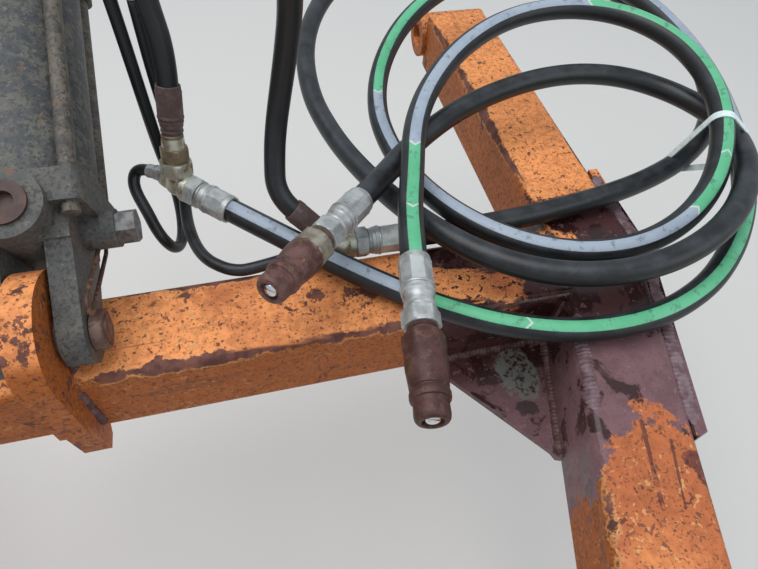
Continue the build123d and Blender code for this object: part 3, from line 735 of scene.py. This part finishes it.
def striped_hose_finish(name):
    """The supply hose's stripe on u = 0, green and pale by turns, each stretch with a pointed end.

    Distance along plus a little per distance from the stripe's middle gives the point. A pale line marks
    each turn and each further chevron.
    """
    hoses = bpy.context.scene.drawbar_hoses
    material, place, colour, cloud, weave = rubber_base(name)
    u, v, _ = place.node("ShaderNodeUVMap", {"uv_map": "Round and along"}).parts()
    off = 0.5 - (u - 0.5).size()
    stripe = (off + (weave - 0.5) * 0.006).rise(hoses.stripe / 2 + 0.004, hoses.stripe / 2 - 0.004)
    pointed = v + off * STRIPE_POINT
    green = pointed * 0.0
    marks = pointed * 0.0
    for number, turn in enumerate(STRIPE_TURNS):
        green = green + pointed.rise(turn - 0.0006, turn + 0.0006) * (1.0 if number % 2 == 0 else -1.0)
    for turn in STRIPE_TURNS + STRIPE_CHEVRONS:
        marks = marks.high((pointed - turn).size().rise(0.0018, 0.0009))
    tone = layered(green.blend(hoses.white, hoses.green), (marks * 0.9, (0.62, 0.7, 0.66)))
    deeper = tone.node("ShaderNodeGamma", None, {"Color": tone, "Gamma": 1.6})
    tone = layered(
        tone, (place.noise(24.0, 4.0, 0.6).rise(0.42, 0.62) * 0.3, deeper),
        (place.noise(90.0, 5.0, 0.7).rise(0.54, 0.66) * 0.55, (0.06, 0.085, 0.085)))
    return wear(material, stripe.blend(colour, tone), 0.33 + cloud * 0.16, weave, 0.00022)


def plain_metal_finish(name, colour, rough):
    """Bare bright metal."""
    material, place = new_finish(name)
    fine = place.noise(300.0, 3.0, 0.5)
    tone = fine.rise(0.35, 0.65).blend(colour, [c * 0.85 for c in colour])
    return wear(material, tone, rough + fine * 0.08, fine, 0.00005, 1.0)


# Pieces


class DRAWBAR_OT_camera(Operator):
    """Adds the camera at the photograph's viewing angle"""
    bl_idname = "drawbar.camera"
    bl_label = "Camera"

    def execute(self, context):
        data = bpy.data.cameras.new("Camera")
        data.sensor_width = 36.0
        data.lens = CAMERA_LENS
        data.clip_start = 0.02
        camera = add_object("Camera", data)
        turn = Matrix((CAMERA_RIGHT, CAMERA_UP, [-c for c in CAMERA_LOOK])).transposed()
        camera.matrix_world = Matrix.Translation(CAMERA_AT) @ turn.to_4x4()
        context.scene.camera = camera
        return {"FINISHED"}


HOSE_TABLE = (   # name, route, size's name, direction of its u = 0 side, CAD nodes on it beside its ends
    ("supply_hose_first", SUPPLY_FIRST, "supply", (0.0, -0.25, 1.0)),
    ("supply_hose_second", SUPPLY_SECOND, "supply", (0.0, -0.25, 1.0)),
    ("riser_hose_first", RISER_FIRST[::-1], "riser", (0.52, 0.85, 0.0), "head_port_elbow"),
    ("riser_hose_second", RISER_SECOND[::-1], "riser", (0.1, 1.0, 0.0), "base_port_elbow"),
    ("thin_hose_first", THIN_FIRST, "thin", (1.0, 0.1, 0.1), "thin_cap_first"),
    ("thin_hose_second", THIN_SECOND, "thin", (0.7, -0.2, 0.9), "thin_cap_second"),
)


FERRULE_SHARES = (   # distance, envelope and flats, or 0 where it is round
    (-0.1, 0.875, 0), (-0.085, 0.915, 0), (0.0, 0.93, 0), (0.07, 0.985, 0.93), (0.14, 1.0, 0.895),
    (0.67, 1.0, 0.89), (0.71, 1.0, 0.955), (0.73, 1.0, 0), (0.755, 0.985, 0), (0.765, 0.91, 0),
    (0.8, 0.905, 0), (0.815, 0.945, 0), (0.86, 0.945, 0), (0.875, 0.9, 0), (0.97, 0.885, 0),
    (1.0, 0.84, 0),
)
NECK_SHARES = ((0.15, 0.8), (0.3, 0.79), (0.38, 0.86), (0.62, 0.86), (0.72, 0.79))


def ferrule_rows(hose, wall, crimps, collar, neck, nut_long):
    """Profile of a crimped ferrule, its neck and its nut, from the end of the hose outwards.

    Distances are shares of the collar's or the neck's length, and radii are shares of the ferrule's.
    """
    r = hose / 2 + wall
    nut = hose / 2 + 0.0025
    bevel = min(0.0012, nut_long * 0.12)
    n = collar + neck
    end = n + nut_long
    rows = [(collar * at, r * wide, r * flat, crimps) for at, wide, flat in FERRULE_SHARES]
    if neck > 0.003:
        rows += [(collar + neck * at, r * wide) for at, wide in NECK_SHARES] + [(n - 0.0002, r * 0.77)]
    if nut_long > 0.003:
        rows += [(at, nut * wide, nut, 6) for at, wide in
                 ((n, 1.01), (n + bevel, 1.15), (end - bevel, 1.15), (end, 1.01))]
    return rows


FITTINGS = {   # collar, neck and nut lengths at each end of a line
    "supply": {"tee": (0.034, 0.004, 0.013), "far": (0.042, 0.014, 0.017)},
    "riser": {"tee": (0.04, 0.0078, 0.0), "far": (0.034, 0.002, 0.012)},
    "thin": {"tee": (0.0125, 0.0015, 0.009), "far": (0.0125, 0.0015, 0.009)},
}


class DRAWBAR_OT_hoses(Operator):
    """Adds the six hoses with their crimped ends"""
    bl_idname = "drawbar.hoses"
    bl_label = "Hoses"

    def execute(self, context):
        hoses = context.scene.drawbar_hoses
        black = plain_hose_finish("Hose rubber")
        striped = striped_hose_finish("Striped hose rubber")
        bright = zinc_finish("Crimped zinc", (0.52, 0.54, 0.535), share=0.6, metal=0.55, rough=0.4)
        brown = zinc_finish("Brown ferrule", (0.12, 0.085, 0.08), (0.09, 0.05, 0.04), 0.5, 0.25, 0.5)
        for name, route, size, face, *others in HOSE_TABLE:
            diameter = getattr(hoses, size)
            line = route_line(route)
            piece = pipe(f"{name}_skin", line, diameter, face)
            riser = size == "riser"
            finish = striped if name == "supply_hose_first" else black
            add_piece(piece, finish, None if riser else "drawbar", [name])
            for end, tip, before in (("tee", line[0], line[1]), ("far", line[-1], line[-2])):
                if riser:
                    end = {"tee": "far", "far": "tee"}[end]
                node = name.replace("hose", f"{end}_end")
                wall = hoses.ferrule_wall * diameter / hoses.supply
                rows = ferrule_rows(diameter, wall, hoses.crimps, *FITTINGS[size][end])
                ferrule = turned(f"{node}_crimp", tip, tip - before, rows, 64, 16)
                body = "lift_cylinder" if riser and end == "far" else "drawbar"
                add_piece(ferrule, brown if riser else bright, body, replaced=[node])
            if riser:
                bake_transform(piece)
        return {"FINISHED"}


TEE_REACH = 0.018      # from a tee's middle to the nut of its supply hose
ADAPTER_ROOM = 0.04    # least length of a riser arm that has a collar and an adapter
TEE_TOP_ROWS = (   # distance from a tee's middle, envelope, and where it has flats their radius and number
    (0.0105, 0.014), (0.0118, 0.0163, 0.0166, 6), (0.0136, 0.0186, 0.0166, 6), (0.0255, 0.0186, 0.0166, 6),
    (0.0274, 0.0168, 0.0166, 6), (0.0276, 0.014),
)
ADAPTER_ROWS = (
    (0.027, 0.0128), (0.0288, 0.0128), (0.0292, 0.0141, 0.0142, 6), (0.0304, 0.0159, 0.0142, 6),
    (0.0418, 0.0159, 0.0142, 6), (0.0432, 0.0144, 0.0142, 6), (0.0434, 0.0118), (0.0452, 0.0111),
    (0.052, 0.0109), (0.0528, 0.0116), (0.0572, 0.0116), (0.0581, 0.0108),
)
COUPLER_ROWS = (   # the same, with distances from the nut
    (0.0002, 0.0128), (0.001, 0.0138), (0.003, 0.014), (0.0038, 0.013), (0.0055, 0.0129),
    (0.0072, 0.0138), (0.0078, 0.0166, 0.0172, 6), (0.0098, 0.019, 0.0172, 6), (0.02, 0.0192, 0.0173, 6),
    (0.0232, 0.0184, 0.0176, 6), (0.0255, 0.0181), (0.033, 0.0185), (0.04, 0.0183), (0.048, 0.0174),
    (0.055, 0.0167), (0.0582, 0.0164), (0.059, 0.0155), (0.0602, 0.0154), (0.0612, 0.0166),
    (0.063, 0.0171), (0.0665, 0.0171), (0.0685, 0.0166), (0.0692, 0.0151), (0.0704, 0.0147),
    (0.0735, 0.0147), (0.0805, 0.0149), (0.0838, 0.0144), (0.0858, 0.013), (0.0868, 0.0108),
    (0.0868, 0.0094), (0.0862, 0.0089), (0.083, 0.0086),
)
VALVE_ROWS = (
    (0.0826, 0.0084), (0.0832, 0.0076), (0.0846, 0.0068), (0.0858, 0.0055), (0.0866, 0.0038),
    (0.087, 0.0018), (0.0871, 0.0005),
)


class DRAWBAR_OT_couplers(Operator):
    """Adds the two quick couplers with the balls of their valves"""
    bl_idname = "drawbar.couplers"
    bl_label = "Couplers"

    def execute(self, context):
        bright = plain_metal_finish("Valve ball", (0.8, 0.8, 0.8), 0.12)
        for number, route, plated in (("first", SUPPLY_FIRST, 0.0), ("second", SUPPLY_SECOND, 1.0)):
            tip = np.array(route[-1]) * MM
            way = unit(np.array(route[-1]) - np.array(route[-2]))
            start = tip + way * sum(FITTINGS["supply"]["far"])
            body = turned(f"coupler_{number}_body", start, way, COUPLER_ROWS, 72, 30)
            steel = coupler_finish(f"Coupler rust {number}", start, way, plated)
            add_piece(body, steel, replaced=[f"coupler_{number}"])
            add_piece(turned(f"coupler_{number}_ball", start, way, VALVE_ROWS, 32, 60), bright)
        return {"FINISHED"}


class DRAWBAR_OT_tees(Operator):
    """Adds the tees' arms, and their collars and adapters where there is room"""
    bl_idname = "drawbar.tees"
    bl_label = "Tees"

    def execute(self, context):
        forged = zinc_finish("Tee plating", (0.56, 0.56, 0.46), (0.23, 0.12, 0.07), 0.55)
        brass = zinc_finish("Adapter plating", (0.25, 0.2, 0.13), (0.15, 0.085, 0.05), 0.55, 0.6, 0.42)
        for number, supply, riser, thin in (
            ("first", SUPPLY_FIRST, RISER_FIRST, THIN_FIRST),
            ("second", SUPPLY_SECOND, RISER_SECOND, THIN_SECOND),
        ):
            centre = nut_face(supply, "supply", TEE_REACH)
            top = nut_face(riser, "riser")
            for part, end, radius, rim in (
                ("supply", nut_face(supply, "supply"), 0.0125, 0.0035),
                ("thin", nut_face(thin, "thin"), 0.0098, 0.003), ("riser", top, 0.0125, 0.0),
            ):
                arm = arm_piece(f"tee_{number}_{part}", centre, end, radius, rim)
                add_piece(arm, forged, replaced=[f"tee_{number}"] if part == "supply" else ())
            if np.linalg.norm(top - centre) > ADAPTER_ROOM:
                way = top - centre
                add_piece(turned(f"tee_{number}_collar", centre, way, TEE_TOP_ROWS, 48, 30), forged)
                add_piece(turned(f"tee_{number}_adapter", centre, way, ADAPTER_ROWS, 48, 30), brass)
        return {"FINISHED"}


class DRAWBAR_OT_welds(Operator):
    """Adds the weld beads of the right joint, the lug and the plates"""
    bl_idname = "drawbar.welds"
    bl_label = "Welds"

    def execute(self, context):
        rust = weld_finish("Weld rust")
        lilac = weld_finish("Lilac weld", (0.13, 0.07, 0.078), (0.24, 0.165, 0.185))
        top = TUBE_HALF
        front = CROSS_Y - TUBE_HALF
        back = CROSS_Y + TUBE_HALF
        corner = np.array([LEG_X - TUBE_HALF / cos(TOE_IN) - TUBE_HALF * tan(TOE_IN), front, 0.0])
        ridge = corner + FORE * 0.02 + OUTWARD * 0.008 + (0.0, 0.0, top - 0.0035)
        low = corner + (0.0, 0.0, GUSSET_TOP)
        bend = KINK + OUTWARD * TUBE_HALF - FORE * TUBE_HALF * tan(TOE_IN / 2) + (0.002, 0.0, 0.0475)
        bend_front = bend + FORE * 0.216 + OUTWARD * 0.002 - (0.002, 0.0, 0.0)
        inner = corner[0] + 0.001
        seams = [   # name, points, width, height, rise, finish
            ("crossbar_seam", ((LEG_X - top, back - 0.008, top), (LEG_X - top, CROSS_Y, top),
                               corner + (0.004, 0.01, top)), 0.011, 0.003, (0, 0, 1), rust),
            ("crossbar_front_seam", ((inner, front, top - 0.01), (inner, front, -top + 0.01)),
             0.011, 0.004, (-0.7, -0.7, 0), rust),
            ("leg_ridge", [ridge + FORE * d for d in (0.0, 0.05, 0.115)],
             0.014, 0.005, (-0.5, 0, 0.85), lilac),
            ("gusset_cross_seam", (low - (0.15, 0.001, 0.0), low - (0.0, 0.001, 0.0)),
             0.01, 0.0045, (0, -0.6, 0.8), rust),
            ("gusset_leg_seam", [low + FORE * d - OUTWARD * 0.001 for d in (0.0, 0.146)],
             0.011, 0.005, (-0.6, 0, 0.8), rust),
        ]
        for part, first, last, way in (
            ("lug_seam", (front + 0.012, top), (back - 0.012, top), (0.6, 0, 0.8)),
            ("lug_front_seam", (front - 0.001, top - 0.013), (front - 0.001, -top + 0.013), (0.6, -0.8, 0)),
        ):
            for side, sign in (("right", 1), ("left", -1)):
                seams.append((f"{part}_{side}", ((sign * LUG_FACE, *first), (sign * LUG_FACE, *last)),
                              0.011, 0.0045, (sign * way[0], *way[1:]), rust))
        seams.append(("doubler_seam", (bend + (0.0, 0.132, 0.0), bend, bend_front),
                      0.014, 0.0026, (0, 0, 1), lilac))
        for number, (name, points, width, height, rise, finish) in enumerate(seams):
            if name.startswith("lug"):
                copies = ((name, 1, 40),)
            else:
                copies = ((f"{name}_right", 1, 40), (f"{name}_left", -1, 60))
            for copy, sign, seed in copies:
                flip = np.array((sign, 1, 1))
                weld = bead(copy, np.array(points) * flip, width, height, seed + number, rise * flip)
                add_piece(weld, finish)
        return {"FINISHED"}


class DRAWBAR_OT_tie(Operator):
    """Adds the white tie round the coil"""
    bl_idname = "drawbar.tie"
    bl_label = "Tie"

    def execute(self, context):
        hoses = context.scene.drawbar_hoses
        first, second = route_line(SUPPLY_FIRST), route_line(SUPPLY_SECOND)
        index = int(np.argmin(np.linalg.norm(first - TIE_AT, axis=1)))
        near = first[index]
        way = unit(first[index + 2] - first[index - 2])
        spots = []
        for line in (first, second):
            side = (line - near) @ way
            for k in np.nonzero((side[:-1] < 0) != (side[1:] < 0))[0]:
                share = side[k] / (side[k] - side[k + 1])
                spot = line[k] + (line[k + 1] - line[k]) * share
                if np.linalg.norm(spot - near) < TIE_REACH:
                    spots.append(spot)
        radius = hoses.supply / 2 + TIE_GAP
        band = loop_band("tie_band", near, way, spots, radius, hoses.tie_width, TIE_THICK)
        add_piece(band, nylon_finish("White nylon"))
        return {"FINISHED"}


class DRAWBAR_OT_frame_paint(Operator):
    """Gives the tubes and plates of the frame their worn paint"""
    bl_idname = "drawbar.frame_paint"
    bl_label = "Frame paint"

    def execute(self, context):
        dress(tube_finish("Crossbar paint", (0.0, CROSS_Y, 0.0), 0.0, 0.1, 0.0085), "crossbar")
        for side, sign in (("right", 1), ("left", -1)):
            for part, y, turn, *tone in (("Rear", 0.0, pi / 2, 0.22, 0.0075),
                                         ("Front", CROSS_Y, pi / 2 - sign * TOE_IN, -0.18)):
                paint = tube_finish(f"{part} leg paint {side}", (sign * LEG_X, y, 0.0), turn, *tone)
                dress(paint, f"{part.lower()}_leg_{side}")
        plates = plate_finish("Plate paint")
        for plate in ("hinge_eye", "kink_doubler", "corner_gusset", "lower_gusset"):
            dress(plates, f"{plate}_right", f"{plate}_left")
        dress(plates, "cylinder_lug", "nose_plate_top", "nose_plate_bottom", "hitch_head_plate",
              "hitch_clevis")
        return {"FINISHED"}


# The nuts at the tie rods' far ends and the clip on the clevis leg, in metres
TIE_ROD_OUT = 0.0466
NUT_FAR = 0.4265
NUT_ROWS = (
    (0.0, 0.0112), (0.0008, 0.0133, 0.0121, 6), (0.01, 0.0139, 0.0121, 6), (0.0113, 0.0139, 0.0121, 6),
)
CLIP_ENDS = np.array([(0.0505, -0.5858, 0.1235), (0.0505, -0.4807, 0.0926)])
CLIP_HALF = 0.0085
CLIP_GAP = 0.35          # half the angle that the ring leaves open
CLIP_WIRE = 0.0042


class DRAWBAR_OT_cylinder_parts(Operator):
    """Adds the tie rods' nuts and the clip on the clevis leg"""
    bl_idname = "drawbar.cylinder_parts"
    bl_label = "Cylinder parts"

    def execute(self, context):
        steel = zinc_finish("Tie rod nut", (0.115, 0.11, 0.105), (0.1, 0.055, 0.04), 0.56, 0.4, 0.5)
        for number, (side, high) in enumerate(((1, 1), (-1, 1), (1, -1), (-1, -1))):
            start = PIN + CYLINDER_WAY * NUT_FAR + (CYLINDER_UP * high + (side, 0.0, 0.0)) * TIE_ROD_OUT
            nut = turned(f"tie_nut_{number}", start, CYLINDER_WAY, NUT_ROWS, 36, 30)
            add_piece(nut, steel, "lift_cylinder")
        # Half circles about two points, joined by straight runs: an open stadium ring
        first, last = CLIP_ENDS
        way = unit(last - first)
        aside = np.cross(way, (1.0, 0.0, 0.0))
        turn = np.linspace(CLIP_GAP, 2 * pi - CLIP_GAP, 60)[:, None]
        reach = np.linalg.norm(last - first) / 2 - CLIP_HALF
        line = (first + last) / 2 + aside * CLIP_HALF * np.sin(turn) + way * (
            CLIP_HALF * np.cos(turn) + reach * np.sign(np.cos(turn)))
        rusty = zinc_finish("Rusty clip", (0.1, 0.052, 0.036), (0.17, 0.085, 0.05), 0.5, 0.3, 0.5)
        add_piece(pipe("pin_clip", line, CLIP_WIRE, (1.0, 0.0, 0.0), 12), rusty, "lift_cylinder")
        return {"FINISHED"}


class DRAWBAR_OT_cylinder_finish(Operator):
    """Gives the lift cylinder and the pins their finishes"""
    bl_idname = "drawbar.cylinder_finish"
    bl_label = "Cylinder finish"

    def execute(self, context):
        for finish, *nodes in (
            (cast_finish("Dark casting"), "cylinder_base", "cylinder_head_cap", "rod_clevis"),
            (cast_finish("Barrel paint", (0.06, 0.065, 0.07), (0.135, 0.13, 0.11)), "cylinder_barrel"),
            (cast_finish("Tie rod rust", (0.15, 0.125, 0.095), (0.085, 0.075, 0.066)), "tie_rods"),
            (plug_finish("Port plugs"), "port_plugs"),
            (plain_metal_finish("Chromed rod", (0.72, 0.73, 0.75), 0.1), "piston_rod"),
            (zinc_finish("Rusty pin", (0.2, 0.13, 0.1), (0.12, 0.06, 0.045), 0.48, 0.45, 0.5),
             "lug_pin", "pin_spacer_right", "pin_spacer_left"),
            (zinc_finish("Elbow plating", (0.42, 0.42, 0.36), (0.23, 0.12, 0.07), 0.55),
             "head_port_elbow", "base_port_elbow", "thin_cap_first", "thin_cap_second"),
        ):
            dress(finish, *nodes)
        return {"FINISHED"}


FLOOR_SIZE = 28.0
LIT_PLACE = (0.3, -0.5, 0.0)      # what both lights point at
SKY_COLOUR = (0.86, 0.93, 1.0)


class DRAWBAR_OT_studio(Operator):
    """Adds the pale floor and the soft lights"""
    bl_idname = "drawbar.studio"
    bl_label = "Studio"

    def execute(self, context):
        studio = context.scene.drawbar_studio
        mesh = bpy.data.meshes.new("Floor")
        half = FLOOR_SIZE / 2
        corners = ((-half, -half), (half, -half), (half, half), (-half, half))
        mesh.from_pydata([(x, y, -studio.floor_drop) for x, y in corners], [], [(0, 1, 2, 3)])
        floor = add_object("Floor", mesh)
        material, _ = new_finish("Floor")
        wear(material, studio.floor, 0.9)
        mesh.materials.append(material)
        for name, power, at, size in (
            ("Key", studio.key, (-0.6, -0.2, 3.0), 2.6),
            ("Fill", studio.fill, (2.4, -2.6, 2.2), 2.4),
        ):
            data = bpy.data.lights.new(name, "AREA")
            data.energy = power
            data.size = size
            lamp = add_object(name, data)
            aim = Vector(LIT_PLACE) - Vector(at)
            lamp.matrix_world = Matrix.Translation(at) @ aim.to_track_quat("-Z", "Y").to_matrix().to_4x4()
        world = bpy.data.worlds.new("Studio")
        world.use_nodes = True
        sky = world.node_tree.nodes["Background"].inputs
        sky["Color"].default_value = rgba(SKY_COLOUR)
        sky["Strength"].default_value = studio.sky
        context.scene.world = world
        context.scene.view_settings.view_transform = "Standard"
        return {"FINISHED"}


class DRAWBAR_PT_panel(Panel):
    """Lists the drawbar's operators and sizes"""
    bl_idname = "DRAWBAR_PT_panel"
    bl_label = "Drawbar"
    bl_space_type = "VIEW_3D"
    bl_region_type = "UI"
    bl_category = "Drawbar"

    def draw(self, context):
        for operator in OPERATORS:
            self.layout.operator(operator.bl_idname)
        for group in GROUPS:
            box = self.layout.box()
            values = getattr(context.scene, group)
            for key in GROUPS[group].__annotations__:
                box.prop(values, key)


OPERATORS = (DRAWBAR_OT_camera, DRAWBAR_OT_couplers, DRAWBAR_OT_hoses, DRAWBAR_OT_tees, DRAWBAR_OT_tie,
             DRAWBAR_OT_welds, DRAWBAR_OT_frame_paint, DRAWBAR_OT_cylinder_parts,
             DRAWBAR_OT_cylinder_finish, DRAWBAR_OT_studio)
GROUPS = {"drawbar_hoses": DRAWBAR_hoses, "drawbar_paint": DRAWBAR_paint, "drawbar_studio": DRAWBAR_studio}


def register():
    for group in GROUPS.values():
        bpy.utils.register_class(group)
    for operator in OPERATORS:
        bpy.utils.register_class(operator)
    bpy.utils.register_class(DRAWBAR_PT_panel)
    for name, group in GROUPS.items():
        setattr(bpy.types.Scene, name, PointerProperty(type=group))


def unregister():
    for name in GROUPS:
        delattr(bpy.types.Scene, name)
    bpy.utils.unregister_class(DRAWBAR_PT_panel)
    for operator in reversed(OPERATORS):
        bpy.utils.unregister_class(operator)
    for group in reversed(GROUPS.values()):
        bpy.utils.unregister_class(group)


def main():
    register()
    for operator in OPERATORS:
        section, name = operator.bl_idname.split(".")
        getattr(getattr(bpy.ops, section), name)()


if __name__ == "__main__":
    main()
